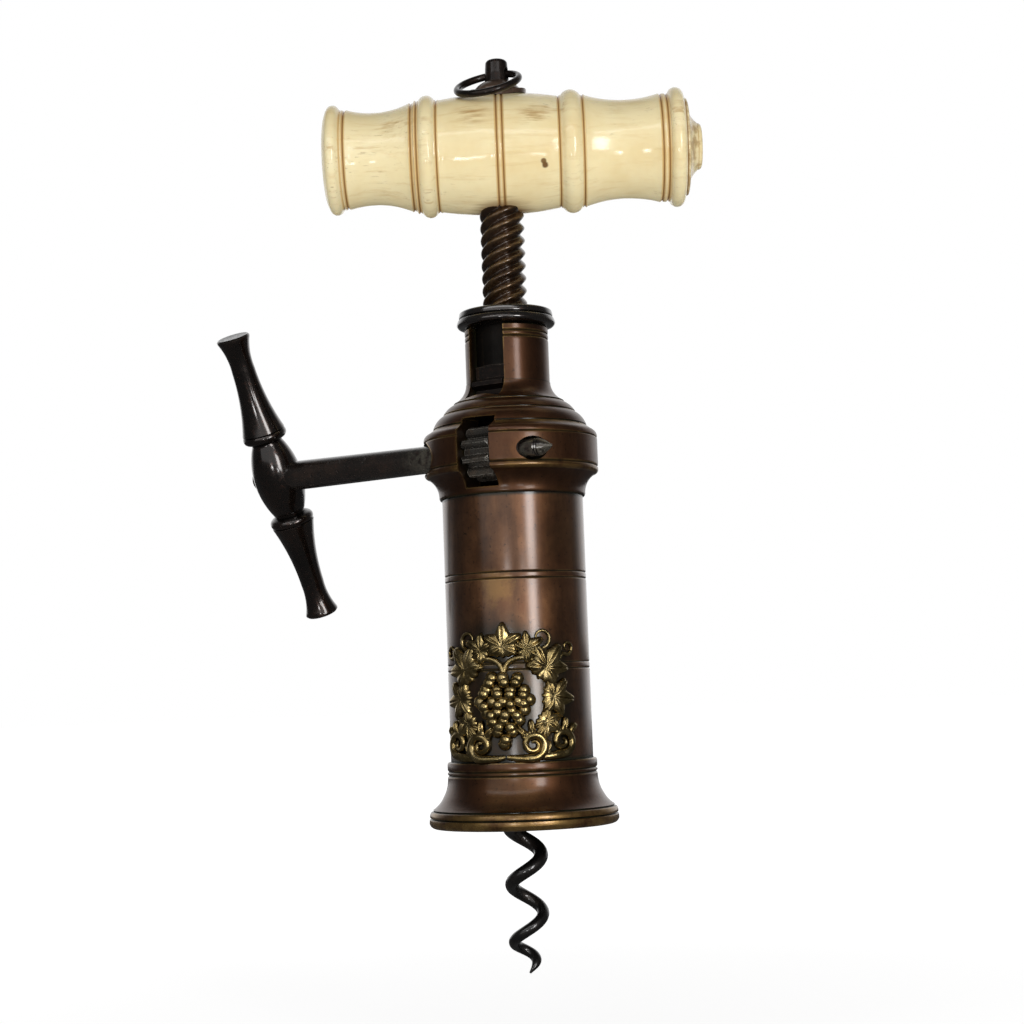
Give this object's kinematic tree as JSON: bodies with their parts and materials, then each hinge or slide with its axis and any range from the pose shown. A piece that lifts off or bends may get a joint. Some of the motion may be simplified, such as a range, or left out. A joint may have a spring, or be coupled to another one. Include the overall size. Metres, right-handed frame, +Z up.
{
  "type": "rack and pinion barrel corkscrew",
  "caption": "Barrel corkscrew with a turned bone handle on a multi-start screw, an open worm, and a T-bar side handle whose pinion lifts the rack and draws the cork.",
  "frame": {"origin": "middle of the bell's lower rim, where the bottle's lip enters", "axes": "+Z up along the barrel's axis to the bone handle; the rack and the pinion's window face -Y; the side handle points to -X"},
  "size_m": [0.0961, 0.0592, 0.187],
  "materials": {
    "bronze": "brown patina, rubbed edges",
    "cast_brass": "cast, bright relief and dark hollows",
    "black_steel": "blackened, satin",
    "bone": "polished bone with stained lines"
  },
  "bodies": {
    "barrel": {"barrel_tube": "bronze", "bell_mouth": "bronze", "shoulder_cap": "bronze", "brass_spray": "cast_brass"},
    "rack": {"collar_nut": "black_steel", "rack_sleeve": "black_steel", "rack_bar": "black_steel", "rack_rivets": "black_steel"},
    "pinion": {"pinion": "black_steel", "pinion_pin": "black_steel", "pinion_shaft": "black_steel", "side_handle": "black_steel"},
    "stop_ring": {"stop_ring": "black_steel"},
    "spindle": {"screw_spindle": "bronze", "worm": "black_steel", "worm_pin": "black_steel", "handle_grip": "bone", "left_end_plug": "bone", "right_end_plug": "bone", "domed_washer": "black_steel", "ring_post": "black_steel"},
    "ring": {"hanging_ring": "black_steel"}
  },
  "joints": [
    {"name": "rack_lift", "type": "slide", "parent": "barrel", "child": "rack", "axis": [0, 0, 1], "range_m": [0, 0.042]},
    {"name": "pinion_turn", "type": "hinge", "parent": "barrel", "child": "pinion", "pos_m": [0, -0.01172, 0.0743], "axis": [1, 0, 0], "range_deg": [-2, 512]},
    {"name": "spindle_advance", "type": "slide", "parent": "rack", "child": "stop_ring", "axis": [0, 0, 1], "range_m": [-0.0203, 0.0352]},
    {"name": "handle_turn", "type": "hinge", "parent": "stop_ring", "child": "spindle", "pos_m": [0, 0, 0.1], "axis": [0, 0, 1], "range_deg": [-690, 1200]},
    {"name": "ring_swing", "type": "hinge", "parent": "spindle", "child": "ring", "pos_m": [0, 0, 0.1547], "axis": [-0.9703, -0.2419, 0], "range_deg": [0, 242]}
  ],
  "couplings": [
    {"joint": "pinion_turn", "follows": "rack_lift", "rad_per_m": 211.64},
    {"joint": "spindle_advance", "follows": "handle_turn", "m_per_rad": 0.0016711}
  ]
}
